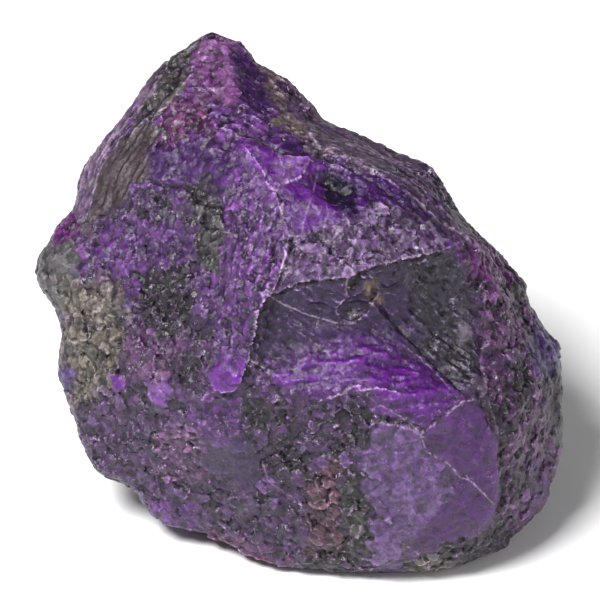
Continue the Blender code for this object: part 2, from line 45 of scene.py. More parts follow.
# The picture that the stone is matched to: points on it are given in its pixels
picture = {
    "size": 600,            # pixels each way
    "pixel": 0.08,          # millimetres that a pixel covers at the stone
    "elevation": 35.0,      # degrees that the camera looks down
    "tip": 33,              # the pixel row of the stone's tip
    "sides": (35, 564),     # and the columns of its left and right limits
    "lens": 1200.0,         # a long lens, so that near and far parts keep one scale
    "sensor": 36.0,
}

elevation = math.radians(picture["elevation"])
viewRight = np.array((1.0, 0.0, 0.0))
viewUp = np.array((0.0, math.sin(elevation), math.cos(elevation)))
viewToward = np.array((0.0, -math.cos(elevation), math.sin(elevation)))


def hexToLinear(code):
    channels = [int(code[i:i + 2], 16) / 255.0 for i in (1, 3, 5)]
    return [c / 12.92 if c <= 0.04045 else ((c + 0.055) / 1.055) ** 2.4 for c in channels]


def swatch(code):
    return (*hexToLinear(code), 1.0)


def addNode(tree, kind, settings={}, inputs={}):
    node = tree.nodes.new(kind)
    for key, value in settings.items():
        setattr(node, key, value)
    for key, value in inputs.items():
        socket = node.inputs[key]
        if isinstance(value, bpy.types.NodeSocket):
            tree.links.new(value, socket)
        else:
            socket.default_value = value
    return node


def readPoints(mesh, key="co"):
    flat = np.empty(len(mesh.vertices) * 3, dtype=np.float32)
    mesh.vertices.foreach_get(key, flat)
    return flat.reshape(-1, 3).astype(float)


def writePlaces(mesh, places):
    mesh.vertices.foreach_set("co", places.astype(np.float32).ravel())
    mesh.update()


def readEdges(mesh):
    flat = np.empty(len(mesh.edges) * 2, dtype=np.int32)
    mesh.edges.foreach_get("vertices", flat)
    return flat.reshape(-1, 2)


def placed(name, data):
    item = bpy.data.objects.new(name, data)
    bpy.context.collection.objects.link(item)
    return item


def afterModifiers(item):
    # the item's mesh with its modifiers applied, and the item itself is taken away
    bpy.context.view_layer.update()
    graph = bpy.context.evaluated_depsgraph_get()
    mesh = bpy.data.meshes.new_from_object(item.evaluated_get(graph), depsgraph=graph)
    bpy.data.objects.remove(item, do_unlink=True)
    return mesh


def fade(values, low, high):
    # nought up to low, one from high on, and even in between
    return np.clip((values - low) / (high - low), 0.0, 1.0)


def smoothed(values, edges, rounds):
    # each round moves a value half of the way to the mean of its neighbours
    count = len(values)
    touching = np.bincount(edges.ravel(), minlength=count)
    for _ in range(rounds):
        total = np.empty_like(values)
        for axis in range(values.shape[1]):
            column = values[:, axis]
            total[:, axis] = np.bincount(edges[:, 0], column[edges[:, 1]], count)
            total[:, axis] += np.bincount(edges[:, 1], column[edges[:, 0]], count)
        values = values + (total / touching[:, None] - values) * 0.5
    return values


def groupMeans(values, group):
    count = group.max() + 1
    weight = np.bincount(group, minlength=count)
    return np.stack([np.bincount(group, column, count) / weight for column in values.T], axis=1)


def pressGroups(places, normals, group, amount):
    # each group is pressed towards one plane, as a small broken face, where it is fairly even
    middle = groupMeans(places, group)
    facing = groupMeans(normals, group)
    length = np.linalg.norm(facing, axis=1)
    facing /= np.maximum(length, 1e-9)[:, None]
    even = fade(length, 0.55, 0.85)
    offPlane = np.einsum("ij,ij->i", places - middle[group], facing[group])
    return places - facing[group] * (offPlane * even[group] * amount)[:, None]


def gridCells(places, size, seed):
    # which cell of a jittered grid owns each point
    low = np.floor(places.min(axis=0) / size).astype(int) - 2
    shape = np.ceil(places.max(axis=0) / size).astype(int) + 2 - low
    jitter = np.random.default_rng(seed).random((*shape, 3))
    cell = np.floor(places / size).astype(int) - low
    best = np.full(len(places), np.inf)
    owner = np.zeros(len(places), dtype=np.int64)
    for step in [(x, y, z) for x in (-1, 0, 1) for y in (-1, 0, 1) for z in (-1, 0, 1)]:
        near = cell + step
        spot = (near + low + jitter[near[:, 0], near[:, 1], near[:, 2]]) * size
        gap = np.linalg.norm(places - spot, axis=1)
        closer = gap < best
        code = (near[:, 0] * shape[1] + near[:, 1]) * shape[2] + near[:, 2]
        owner = np.where(closer, code, owner)
        best = np.where(closer, gap, best)
    return np.unique(owner, return_inverse=True)[1]


def swell(places, length, seed):
    # soft noise whose waves are as long as length
    shift = Vector((seed, seed, seed))
    return np.array([noise.noise(Vector(place) / length + shift) for place in places])


def rock(main, second, share, grain):
    # share is how much of the second colour shows, and grain how granular the rock is
    return {"main": main, "second": second, "share": share, "grain": grain}


# What the stone is made of
minerals = {
    "violet": rock("#472f5f", "#7a5496", 0.5, 0.65),
    "deepViolet": rock("#42275e", "#66428a", 0.4, 0.35),
    "vividViolet": rock("#5f3583", "#8658aa", 0.42, 0.25),
    "indigo": rock("#1d0838", "#40206c", 0.25, 0.45),
    "lavender": rock("#7f59a2", "#b08cca", 0.42, 0.35),
    "frost": rock("#6a517c", "#a08db0", 0.45, 1.0),
    "slate": rock("#382a4e", "#5c4a76", 0.42, 0.15),
    "greenSlate": rock("#2f2a3a", "#56505f", 0.42, 0.35),
    "black": rock("#17121b", "#523a5e", 0.36, 0.85),
    "blackGreen": rock("#1f1e22", "#5d5a5a", 0.42, 0.85),
    "charcoal": rock("#2a2035", "#644a78", 0.5, 0.8),
    "brownFace": rock("#3f333b", "#6b5a60", 0.42, 0.12),
    "bandGrey": rock("#3a3638", "#81776c", 0.35, 0.65),
    "tan": rock("#4f4846", "#958a7f", 0.52, 0.95),
    "tanBand": rock("#74636c", "#938478", 0.45, 0.7),
    "greyStone": rock("#5d595f", "#87837f", 0.35, 0.5),
    "pinkGrain": rock("#47303f", "#8c6678", 0.45, 0.95),
    "magenta": rock("#693a74", "#9c60a2", 0.45, 0.8),
    "mauve": rock("#50375c", "#8d6a94", 0.5, 0.95),
    "plum": rock("#5b3660", "#84507b", 0.45, 0.9),
    "rose": rock("#744a7e", "#a97fb2", 0.45, 0.65),
    "slope": rock("#54425f", "#80707f", 0.42, 0.3),
    "facePale": rock("#6b5286", "#957fae", 0.45, 0.45),
    "faceDeep": rock("#52336b", "#775393", 0.42, 0.22),
    "blueViolet": rock("#4c3a74", "#7b68a4", 0.42, 0.6),
    "rust": rock("#5d4a48", "#a58c7a", 0.5, 0.9),
    "borderPurple": rock("#5d4470", "#a891a8", 0.48, 0.45),
    "paleGrain": rock("#83788d", "#a69dac", 0.4, 0.2),
}


def zone(mineral, corners, soft=6, way=None):
    return {"mineral": mineral, "corners": corners, "soft": soft, "way": way}


def line(points, strength=1.0, width=1.3, rise=0.0):
    return {"points": points, "width": width, "strength": strength, "rise": rise}


# Where each shows on the best side, later ones over earlier ones: corners in the picture's
# pixels, how soft the border is, and which way the rock's layers run
zones = {
    "upper rock": zone("violet", [(190, 40), (340, 120), (470, 240), (300, 300), (200, 300), (110, 220),
        (150, 90)], 12),
    "lower rock": zone("charcoal", [(60, 330), (260, 320), (380, 440), (380, 570), (200, 530), (70, 440)],
        14),
    "upper face": zone("violet", [(165, 112), (232, 44), (270, 100), (300, 150), (262, 150), (205, 180),
        (150, 180)], 10, way="falling"),
    "tip": zone("rose", [(196, 42), (222, 30), (244, 44), (250, 78), (228, 104), (196, 98), (188, 70)], 9),
    "reddish grains": zone("plum", [(158, 104), (200, 96), (214, 128), (198, 152), (165, 152), (155, 125)],
        7),
    "slab": zone("deepViolet", [(236, 44), (256, 60), (270, 98), (262, 118), (242, 96), (232, 66)],
        7, way="falling"),
    "tan band": zone("tanBand", [(262, 68), (275, 72), (286, 105), (306, 130), (334, 152), (318, 158),
        (294, 136), (276, 114), (266, 92)], way="falling"),
    "upper lobe": zone("mauve", [(277, 76), (292, 78), (303, 92), (308, 108), (290, 104), (280, 90)], 5),
    "lower lobe": zone("mauve", [(304, 100), (319, 108), (328, 126), (318, 134), (304, 122)], 5),
    "dark band": zone("bandGrey", [(184, 44), (199, 40), (191, 70), (181, 90), (168, 106), (140, 127),
        (130, 120), (148, 95), (164, 68)], way="leftBand"),
    "left border": zone("borderPurple", [(158, 64), (150, 95), (132, 118), (112, 150), (98, 185), (90, 216),
        (76, 212), (80, 165), (106, 128), (120, 110), (138, 90)], 7, way="leftBand"),
    "brown facet": zone("brownFace", [(150, 121), (162, 130), (155, 150), (150, 180), (131, 183), (128, 210),
        (105, 216), (91, 216), (97, 190), (105, 165), (120, 145), (135, 129)], 4, way="leftBand"),
    "left magenta": zone("magenta", [(50, 240), (64, 214), (78, 212), (82, 230), (68, 246)], 7),
    "mottled rock": zone("charcoal", [(100, 220), (150, 185), (215, 185), (228, 260), (190, 270),
        (104, 262)], 9),
    "purple patch": zone("deepViolet", [(152, 150), (200, 135), (232, 160), (225, 190), (170, 190),
        (150, 180)], 9),
    "violet lump": zone("violet", [(104, 224), (160, 220), (200, 232), (192, 264), (150, 284), (118, 286),
        (100, 262)], 9),
    "green seam": zone("blackGreen", [(184, 184), (216, 184), (224, 206), (229, 262), (204, 268),
        (196, 226)]),
    "grey nose": zone("greyStone", [(30, 278), (40, 254), (56, 238), (76, 243), (80, 270), (72, 300),
        (58, 310), (44, 292)]),
    "tan matrix": zone("tan", [(58, 272), (80, 280), (105, 280), (122, 295), (129, 340), (120, 366),
        (104, 386), (84, 402), (68, 396), (60, 370), (64, 340), (60, 305)], 16),
    "brown hollow": zone("black", [(138, 266), (180, 260), (196, 280), (190, 332), (165, 342), (142, 332)],
        7),
    "flake": zone("violet", [(230, 200), (282, 198), (289, 237), (282, 268), (266, 296), (256, 320),
        (250, 345), (244, 368), (236, 388), (214, 388), (206, 370), (214, 320), (220, 280), (226, 240)],
        8, way="upright"),
    "flake tip": zone("vividViolet", [(213, 358), (238, 348), (245, 366), (237, 389), (213, 391)]),
    "step recess": zone("deepViolet", [(236, 133), (262, 137), (300, 147), (312, 157), (300, 160),
        (278, 157), (262, 146), (245, 141)], 4),
    "triangle": zone("vividViolet", [(234, 140), (262, 148), (280, 158), (310, 163), (300, 180), (280, 187),
        (276, 195), (266, 182), (256, 170), (244, 154)], 5),
    "palest triangle": zone("lavender", [(274, 160), (308, 163), (298, 181), (279, 186)], 4),
    "vivid fan": zone("vividViolet", [(279, 190), (316, 164), (330, 174), (326, 196), (346, 217), (300, 241),
        (286, 228)], 5),
    "right frost": zone("frost", [(356, 214), (380, 204), (400, 211), (430, 224), (459, 241), (440, 250),
        (405, 258), (375, 266), (361, 256), (345, 244)], 5),
    "left frost": zone("frost", [(290, 238), (345, 220), (354, 250), (350, 273), (300, 282), (284, 270)],
        7),
    "slope": zone("slope", [(316, 108), (352, 130), (400, 151), (440, 173), (451, 196), (480, 226),
        (464, 239), (440, 225), (400, 190), (370, 172), (345, 160), (325, 152), (304, 134)],
        7, way="falling"),
    "slope purple": zone("deepViolet", [(340, 165), (370, 172), (400, 190), (440, 225), (402, 212),
        (380, 204), (357, 212), (348, 190)], way="falling"),
    "slope dark": zone("charcoal", [(394, 164), (440, 170), (450, 200), (446, 222), (420, 205), (398, 188)],
        7, way="falling"),
    "pocket": zone("indigo", [(320, 172), (335, 176), (347, 185), (356, 200), (354, 212), (344, 218),
        (334, 208), (324, 194)], 4),
    "bowl": zone("slate", [(266, 297), (300, 281), (345, 275), (372, 265), (405, 258), (440, 250),
        (466, 262), (481, 280), (471, 310), (476, 350), (471, 396), (440, 390), (400, 376), (340, 346),
        (280, 356), (250, 356), (256, 320)], way="falling"),
    "bowl green": zone("greenSlate", [(405, 260), (440, 251), (470, 275), (470, 310), (476, 350), (471, 391),
        (440, 379), (415, 350), (408, 300)], 9, way="falling"),
    "bowl bright": zone("vividViolet", [(310, 345), (365, 334), (400, 350), (440, 375), (470, 398),
        (445, 412), (420, 428), (385, 408), (352, 385), (330, 396), (290, 388), (270, 386), (262, 372),
        (290, 360)], 20, way="level"),
    "rust": zone("rust", [(364, 281), (378, 284), (376, 300), (365, 305)], 4),
    "pit above": zone("black", [(346, 276), (360, 278), (358, 290), (346, 290)], 3),
    "pit below": zone("black", [(342, 303), (354, 304), (353, 318), (343, 317)], 3),
    "pale grain": zone("paleGrain", [(456, 325), (466, 323), (471, 331), (466, 339), (457, 338)], 2),
    "right strip": zone("mauve", [(470, 218), (500, 245), (530, 290), (562, 343), (566, 400), (562, 450),
        (550, 500), (520, 530), (498, 548), (497, 500), (497, 435), (485, 396), (479, 300)], 9),
    "magenta lump": zone("magenta", [(460, 248), (478, 240), (500, 252), (508, 270), (500, 293), (480, 288),
        (466, 268)]),
    "right blue": zone("blueViolet", [(530, 316), (562, 343), (562, 380), (540, 378), (526, 345)]),
    "right edge": zone("greenSlate", [(545, 372), (563, 368), (565, 430), (557, 452), (546, 425)]),
    "right purple": zone("violet", [(524, 462), (548, 460), (549, 500), (530, 518), (521, 490)]),
    "dark patch 1": zone("black", [(485, 395), (500, 395), (500, 426), (487, 426)], 5),
    "dark patch 2": zone("black", [(498, 424), (509, 424), (506, 462), (498, 462)], 5),
    "dark patch 3": zone("black", [(505, 362), (530, 360), (530, 398), (508, 400)]),
    "dark patch 4": zone("black", [(514, 455), (527, 455), (525, 490), (513, 490)], 5),
    "dark patch 5": zone("black", [(506, 264), (520, 270), (524, 300), (508, 298)], 5),
    "dark patch 6": zone("black", [(468, 275), (482, 275), (482, 300), (470, 300)], 5),
    "face right": zone("faceDeep", [(418, 432), (440, 415), (460, 400), (479, 395), (486, 425), (498, 435),
        (498, 500), (491, 530), (470, 546), (430, 552), (400, 558), (415, 530), (440, 500), (458, 475),
        (445, 460), (425, 450)], 4),
    "face left": zone("facePale", [(365, 435), (380, 421), (405, 425), (418, 432), (425, 450), (445, 460),
        (458, 475), (440, 500), (415, 532), (385, 558), (366, 562), (370, 525), (385, 515), (370, 500),
        (362, 480), (355, 455)], 7),
    "foot": zone("black", [(435, 546), (470, 531), (500, 523), (516, 530), (500, 546), (470, 558),
        (440, 563)], 5, way="level"),
    "crack": zone("black", [(346, 400), (361, 402), (362, 432), (352, 452), (330, 458), (336, 440),
        (347, 430)], 4),
    "dark middle": zone("black", [(245, 394), (290, 390), (293, 420), (262, 426), (245, 418)], 7),
    "dark lower": zone("black", [(265, 438), (300, 441), (302, 470), (268, 472)], 7),
    "low slate": zone("charcoal", [(240, 474), (290, 474), (314, 500), (312, 552), (270, 547), (240, 522)],
        18),
    "pink column": zone("pinkGrain", [(300, 464), (335, 464), (338, 500), (346, 545), (336, 564), (305, 562),
        (303, 500)], 7),
    "dark vein": zone("blackGreen", [(340, 485), (352, 468), (370, 500), (373, 520), (362, 566), (338, 562),
        (347, 530)], 5, way="upright"),
    "wedge": zone("slate", [(192, 450), (230, 431), (251, 440), (263, 470), (245, 486), (224, 471),
        (204, 461)], 10),
    "facets": zone("violet", [(195, 384), (240, 392), (246, 426), (215, 442), (194, 430)]),
    "small ball": zone("vividViolet", [(112, 372), (122, 369), (130, 378), (127, 388), (116, 390),
        (109, 382)], 4),
    "ball": zone("lavender", [(149, 382), (160, 377), (172, 384), (172, 396), (160, 402), (149, 396)], 5),
    "slate block": zone("charcoal", [(94, 400), (140, 399), (143, 441), (100, 446)]),
    "pebbles": zone("mauve", [(130, 334), (184, 334), (186, 376), (130, 376)], 8),
    "lower pebbles": zone("mauve", [(150, 430), (196, 430), (204, 475), (160, 482)], 8),
    "low lump": zone("violet", [(147, 500), (200, 498), (206, 524), (158, 528)], 7),
    "foot streak": zone("plum", [(198, 526), (245, 537), (294, 561), (280, 570), (240, 552), (200, 535)]),
    "dark spots": zone("black", [(176, 354), (200, 354), (200, 386), (178, 386)]),
    "left bump": zone("blueViolet", [(56, 360), (72, 361), (73, 387), (62, 390)], 5),
}

# The rock away from the best side: the same minerals, by how far along a soft mixture they start
backMinerals = [(0.0, "black"), (0.30, "charcoal"), (0.42, "deepViolet"), (0.52, "violet"),
                (0.63, "mauve"), (0.72, "greyStone"), (0.80, "tan")]

# Pale healed cracks, and painted highlights along lit rims and crests: points, strength,
# width in pixels, and rise, by which the stone on the line's right is lifted, in millimetres
crackAndRimHighlightLines = {
    "flake rim": line([(247, 152), (262, 170), (268, 183), (276, 195), (280, 210), (286, 225), (289, 237),
        (286, 252), (281, 268), (275, 283), (266, 296), (260, 308), (256, 320), (254, 333), (250, 345),
        (248, 358), (244, 368), (240, 378), (236, 385), (228, 390), (215, 386)], rise=0.35),
    "flake tip": line([(250, 358), (272, 371), (255, 378)], 0.6),
    "step lip": line([(222, 130), (245, 140), (262, 146), (278, 157), (300, 160), (312, 163)], rise=0.4),
    "triangle": line([(309, 164), (300, 178), (280, 186), (276, 195)], 0.8, rise=0.2),
    "triangle crease": line([(278, 158), (284, 172), (282, 186)], 0.5),
    "main ridge": line([(308, 136), (320, 150), (345, 160), (370, 172), (400, 190), (440, 225), (462, 240),
        (475, 248)], 0.75, rise=-0.35),
    "slope streak": line([(318, 146), (352, 160), (400, 182), (440, 212)], 0.5),
    "upper streak": line([(345, 145), (400, 165), (445, 190)], 0.5),
    "high streak": line([(380, 148), (425, 182)], 0.4),
    "face rim": line([(200, 50), (190, 75), (180, 90), (170, 103), (160, 112)], 0.8),
    "band rim": line([(170, 62), (152, 92), (138, 112), (118, 132), (100, 160), (90, 186)], 0.7),
    "brown rim": line([(130, 130), (103, 165), (96, 190), (88, 218)], 0.6, rise=-0.2),
    "bowl seam": line([(272, 297), (290, 307), (310, 315), (335, 322), (350, 323)], 0.6),
    "bowl crack": line([(398, 342), (420, 358), (440, 378), (455, 395)], 0.5),
    "bowl crack 2": line([(430, 345), (445, 360), (460, 375)], 0.4),
    "bowl crack 3": line([(300, 332), (325, 350), (342, 372)], 0.35),
    "crest": line([(330, 395), (340, 392), (352, 384), (358, 384), (360, 388), (375, 386), (395, 390)],
        0.9, rise=0.3),
    "crest 2": line([(360, 388), (378, 402), (400, 415), (418, 430)], 0.5),
    "frost rim": line([(372, 265), (405, 258), (440, 250), (458, 243)], 0.6, rise=-0.3),
    "frost foot": line([(266, 296), (300, 281), (345, 275), (372, 265)], 0.6, rise=-0.25),
    "frost seam": line([(345, 218), (352, 236), (362, 256), (366, 270)], 0.5),
    "face seam": line([(418, 432), (425, 450), (445, 460), (458, 475), (468, 478), (490, 500)], 0.6),
    "face top": line([(380, 421), (405, 425), (418, 432), (440, 415), (460, 400), (479, 395)],
        0.5, rise=0.25),
    "face foot": line([(400, 540), (415, 550), (430, 567)], 0.5),
    "brown ring": line([(355, 258), (362, 265), (372, 280), (377, 288), (375, 297), (370, 303), (368, 310),
        (358, 318), (350, 322), (340, 318), (335, 310), (338, 302), (348, 295), (344, 288), (348, 275),
        (355, 258)], 0.5, rise=-0.25),
    "low seam": line([(262, 460), (268, 480), (300, 500), (312, 530)], 0.3),
    "fan ray": line([(300, 238), (306, 215), (314, 190), (318, 168)], 0.35),
    "fan ray 2": line([(322, 232), (328, 214), (324, 196)], 0.35),
    "strip rim": line([(482, 290), (484, 330), (478, 360), (484, 395), (498, 435), (498, 490)], 0.3),
}

# Painted shadows under steps, ridges and rims, and dark cracks and streaks: points, strength and width in
# pixels
shadowAndCrackLines = {
    "under the step": line([(240, 136), (262, 143), (280, 154), (302, 157)], width=3.5),
    "lower crack": line([(350, 402), (356, 420), (346, 442), (322, 452), (300, 455), (270, 458)],
        width=5.0),
    "slope shadow": line([(316, 156), (345, 168), (372, 182), (400, 203)], width=2.5),
    "frost shadow": line([(266, 299), (300, 285), (345, 279), (373, 269), (405, 262), (440, 254)],
        width=2.5),
    "flake shadow": line([(292, 240), (286, 268), (270, 298), (260, 322), (256, 348), (246, 374)],
        width=3.0),
    "face shadow": line([(366, 432), (382, 417), (404, 421), (420, 426)], width=3.5),
    "strip shadow": line([(476, 392), (488, 420), (500, 436), (501, 495), (494, 530)], width=5.0),
    "band shadow": line([(186, 62), (176, 84), (160, 102), (140, 122)], width=4.0),
    "hollow edge": line([(150, 181), (170, 187), (186, 186), (200, 204), (222, 208)], width=3.0),
    "bowl dark streak": line([(372, 300), (400, 330), (432, 362), (462, 392)], width=3.0),
}

stone = {
    # The mesh, with lengths in millimetres
    "cell": 0.165,              # size of the fine skin's cells
    "triangles": 194000,        # what it keeps
    "spared": 0.85,             # how far the best side is spared when triangles are taken out
    "sharpAngle": 38,           # degrees between two faces from which their edge is sharp
    "softening": 4,             # rounds that melt the coarse faces together
    "restingHeight": 0.12,      # how far up the flat spot stays as it is
    "sideRounds": 40,           # rounds of smoothing that tell the stone's sides apart
    "seen": (-0.50, -0.25),     # turn to the camera at which the zones start, and are full
    "chips": ((2.3, 0.7, 70), (1.15, 0.7, 71)),  # broken faces: size, flatness and seed
    "smoothShare": 0.22,        # what the smooth minerals keep of the roughness
    "wholeGrains": (0.20, 0.45),  # from what graininess on a border follows whole grains
    "grainSize": 0.95,          # the rock's grains
    "crumbSize": 0.42,          # and the finer ones on them
    "drift": 0.55,              # how far the grains' borders wander
    "driftLength": 0.625,       # and over what length
    "shoulder": 3.0,            # a grain is level from a third of its size on
    "grainPress": 0.7,          # how flat a grain's own face is
    "grainHeight": 0.11,
    "crumbHeight": 0.05,
    "grainStep": 0.26,          # how much higher one grain may stand than the next
    "ridgeLength": 0.85,
    "ridgeHeight": 0.09,
    "ridgeSteepness": 3.2,
    "sunk": 0.8,                # what steps and ridges are lowered by, to keep the stone's size
    "streakLength": 0.42,
    "streakSqueeze": 0.88,      # how far noise is squeezed along a streak
    "streakHeight": 0.20,
    "darkDepth": 0.18,          # how deep the dark lines are cut
    "liftReach": 14.0,          # pixels beside a line over which its rise fades away
    "fineRelief": (3, 0.03),    # rounds that even out what lies around a point, and the
    "broadRelief": (30, 0.12),  # height over it that counts as one
    # The material: soft noises as size in millimetres, detail, roughness and distortion
    "mottle": (1.3, 8.0, 0.68, 0.0),
    "blotch": (0.55, 5.0, 0.65, 0.8),
    "speck": (0.13, 3.0, 0.6, 0.0),
    "streak": (0.33, 4.0, 0.6, 0.0),
    "thread": (2.1, 4.0, 0.6, 1.2),
    "streakStretch": 0.9,       # the same as streakSqueeze, for the colours
    "streakShare": 0.65,        # what streaks take over from the mottling
    "drawGain": (0.06, 0.80),   # brightness from the darkest to the palest grain
    "hollowShadeCrestLight": (0.28, 1.6),  # from painted shade in a hollow to painted light on a broad crest
    "grooveShadeEdgeLight": (0.6, 1.4),     # and from painted shade in a narrow groove to painted light on an edge
    "seamWidth": 0.11,          # of the dark seams between grains, in grain sizes
    "seamShare": 0.35,
    "creviceShare": (0.12, 0.9),  # from smooth to granular rock, like the pairs below
    "paleGrainGlintShare": (0.15, 0.6),
    "lean": (0.14, 0.95),       # how far the crumbs' faces lean their own way
    "crevice": ("#17121c", 1.0),  # colours laid over the minerals, and how much they cover
    # dark lines: painted shadow under steps and rims, and dark cracks
    "shadowAndCrackLine": ("#1a131f", 0.6),
    # pale edges: worn rims, with painted highlight on the edges that stand out
    "wornEdgeAndHighlight": ("#cdb4da", 0.55),
    # pale lines: healed cracks, and painted highlight along lit rims and crests
    "crackAndRimHighlight": ("#d9c3dc", 0.6),
    "hairCrack": ("#c8aed6", 0.35),
    # single pale grains, which also serve as painted glints
    "paleGrainAndGlint": ("#dccbe6", 1.0),
    "darkWander": 8.0,          # pixels that the drawn lines stray by
    "paleWander": 5.0,
    "hairWidth": 0.006,         # of the hair cracks, in the noise that they follow
    "hue": 0.512,               # a little towards red
    "saturation": 1.18,
    "smoothPolish": (0.24, 0.42),  # roughness of smooth rock
    "grainPolish": (0.17, 0.5),  # and of the crumbs
    "speckBump": (0.55, 0.06),  # strength and height of the finest relief
    "blotchBump": (0.8, 0.16),
    "refraction": 1.6,
    "specular": 0.35,
}

# Where each random draw starts
draws = {"grainStep": 5, "ridge": 60.0, "streak": 90.0}

# Soft waves as length in millimetres, height and seed. The first mix the minerals of the back,
# the others carry the zones' borders about, by pixels, across and then down
mixtureWaves = ((7.0, 0.75, 3.0), (2.6, 0.35, 9.0))
borderWaves = ((2.0, 9.0, 15.0), (0.9, 6.0, 20.0), (0.4, 4.0, 30.0))
acrossSeed, downSeed = 0.0, 20.0

# Ways in the picture that the rock's layers run, as right and down
streakWays = {
    "leftBand": (-0.52, 0.85),
    "falling": (0.81, 0.59),
    "level": (0.99, -0.1),
    "upright": (-0.15, 0.99),
}

# What each column of the painted values holds
mainAt, secondAt, shareAt, grainAt, streaksAt = slice(0, 3), slice(3, 6), 6, 7, slice(8, 12)


def wayInSpace(way):
    right, down = streakWays[way]
    return viewRight * right - viewUp * down


def inPicture(places):
    # columns and rows of points in the picture
    across = places @ viewRight
    up = places @ viewUp
    column = (across - (across.min() + across.max()) / 2) / picture["pixel"] + sum(picture["sides"]) / 2
    return column, picture["tip"] + (up.max() - up) / picture["pixel"]


def pictureCentre(places):
    # the point in space that the middle of the picture shows, in millimetres
    across = places @ viewRight
    up = places @ viewUp
    half = picture["size"] / 2
    right = (across.min() + across.max()) / 2 - (sum(picture["sides"]) / 2 - half) * picture["pixel"]
    high = up.max() - (half - picture["tip"]) * picture["pixel"]
    return viewRight * right + viewUp * high


def gapToStretch(column, row, x0, y0, x1, y1):
    dx, dy = x1 - x0, y1 - y0
    share = np.clip(((column - x0) * dx + (row - y0) * dy) / (dx * dx + dy * dy), 0.0, 1.0)
    return np.hypot(column - x0 - share * dx, row - y0 - share * dy)


def gapToShape(column, row, corners):
    # distance from a closed shape, negative inside it
    inside = np.zeros(len(column), dtype=bool)
    gap = np.full(len(column), np.inf)
    for (x0, y0), (x1, y1) in zip(corners, corners[1:] + corners[:1]):
        gap = np.minimum(gap, gapToStretch(column, row, x0, y0, x1, y1))
        if y1 != y0:
            crosses = (y0 > row) != (y1 > row)
            inside ^= crosses & (column < x0 + (row - y0) * (x1 - x0) / (y1 - y0))
    return np.where(inside, -gap, gap)


def gapToLine(column, row, points):
    # distance from an open line, positive on the right of someone who walks along it
    best = np.full(len(column), np.inf)
    side = np.ones(len(column))
    for (x0, y0), (x1, y1) in zip(points, points[1:]):
        gap = gapToStretch(column, row, x0, y0, x1, y1)
        turn = np.sign((x1 - x0) * (row - y0) - (y1 - y0) * (column - x0))
        closer = gap < best
        best = np.where(closer, gap, best)
        side = np.where(closer, turn, side)
    return best * np.where(side == 0, 1.0, side)


def summed(places, waves, shift=0.0):
    return sum(swell(places, length, seed + shift) * height for length, height, seed in waves)


def mineralRow(name, way=None):
    mineral = minerals[name]
    streaks = [1.0 if key == way else 0.0 for key in streakWays]
    colours = (*hexToLinear(mineral["main"]), *hexToLinear(mineral["second"]))
    return np.array([*colours, mineral["share"], mineral["grain"], *streaks])


def paintMinerals(places, column, row, facing):
    # for each point: main colour, second colour, share of the second, how granular, streaks
    level = np.clip(0.5 + summed(places, mixtureWaves), 0.0, 1.0)
    starts = np.array([start for start, _ in backMinerals])
    rows = np.array([mineralRow(name) for _, name in backMinerals])
    painted = np.stack([np.interp(level, starts, values) for values in rows.T], axis=1)
    across = summed(places, borderWaves, acrossSeed)
    down = summed(places, borderWaves, downSeed)
    for spec in zones.values():
        loose = 0.25 + 0.75 * minerals[spec["mineral"]]["grain"]    # smooth faces keep clean borders
        gap = gapToShape(column + across * loose, row + down * loose, spec["corners"])
        cover = np.clip(0.5 - gap / spec["soft"], 0.0, 1.0) * facing
        painted += (mineralRow(spec["mineral"], spec["way"]) - painted) * cover[:, None]
    return painted


def lineMarks(column, row, facing, lines):
    # the nearest line's signed distance, its strength close by, its width, and how far it lifts
    farAway, widest, margin = 99.0, 12.0, 2.0       # pixels
    nearest = np.full(len(column), farAway)
    strength = np.zeros(len(column))
    width = np.ones(len(column))
    lift = np.zeros(len(column))
    for spec in lines.values():
        gap = gapToLine(column, row, spec["points"])
        closer = np.abs(gap) < np.abs(nearest)
        nearest = np.where(closer, gap, nearest)
        # full as far as the line and a margin reach, and gone at twice that
        reach = np.clip(2.0 - np.abs(gap) / (spec["width"] + margin), 0.0, 1.0)
        strength = np.where(closer, spec["strength"] * reach, strength)
        width = np.where(closer, spec["width"], width)
        if spec["rise"]:
            side = gap * np.sign(spec["rise"])
            near = np.clip(1.0 - side / stone["liftReach"], 0.0, 1.0)
            lift += np.where(side > -0.5, near, 0.0) * abs(spec["rise"])
    marks = np.stack([np.clip(nearest, -widest, widest), strength * facing, width], axis=1)
    return marks, lift * facing


def addCells(tree, place, scale):
    # the same wandering cells, in the mesh and in the material
    drift = addNode(tree, "ShaderNodeTexNoise", {},
                    {"Vector": place, "Scale": 1.0 / stone["driftLength"], "Detail": 2.0})
    moved = addNode(tree, "ShaderNodeVectorMath", {"operation": "MULTIPLY_ADD"},
                    {0: drift.outputs["Color"], 1: (stone["drift"],) * 3, 2: place}).outputs[0]
    cells = addNode(tree, "ShaderNodeTexVoronoi", {}, {"Vector": moved, "Scale": scale})
    seams = addNode(tree, "ShaderNodeTexVoronoi", {"feature": "DISTANCE_TO_EDGE"},
                    {"Vector": moved, "Scale": scale})
    return cells.outputs, seams.outputs["Distance"]


